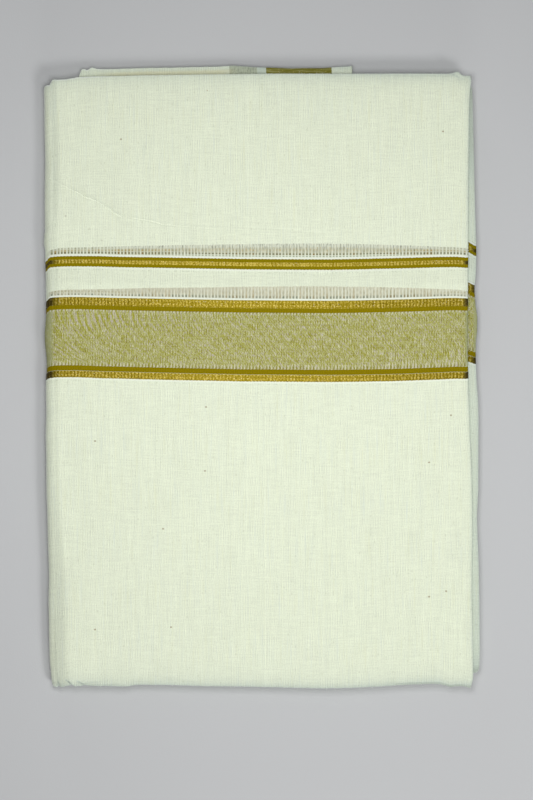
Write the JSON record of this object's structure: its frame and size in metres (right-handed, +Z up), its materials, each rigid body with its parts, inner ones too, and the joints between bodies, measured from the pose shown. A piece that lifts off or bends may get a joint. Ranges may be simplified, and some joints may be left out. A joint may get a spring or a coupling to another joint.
{
  "type": "folded dhoti cloth",
  "caption": "Cream cotton dhoti with woven gold and olive borders, folded flat into a rectangular pack that rests on a surface.",
  "frame": {"origin": "middle of the underside of the pack, on the surface it rests on", "axes": "+X across the pack, from the left fold to the open right edge; +Y along its height, towards the edge where the end flap shows; +Z up, out of the front panel"},
  "size_m": [0.3026, 0.4315, 0.0144],
  "materials": {
    "cream_cotton": "undyed cream cotton in a fine plain weave with uneven yarns, matt, with woven bands of olive yarn, gold metallic yarn, white cord and an olive and pale grey mixed ground",
    "end_band_cotton": "the same cotton at its crosswise end band: cream, grey, white, olive and cream again, to the cut end"
  },
  "bodies": {
    "root": {"front_wrap": "cream_cotton", "second_fold": "cream_cotton", "inner_folds": "cream_cotton", "end_flap": "end_band_cotton"}
  },
  "joints": []
}
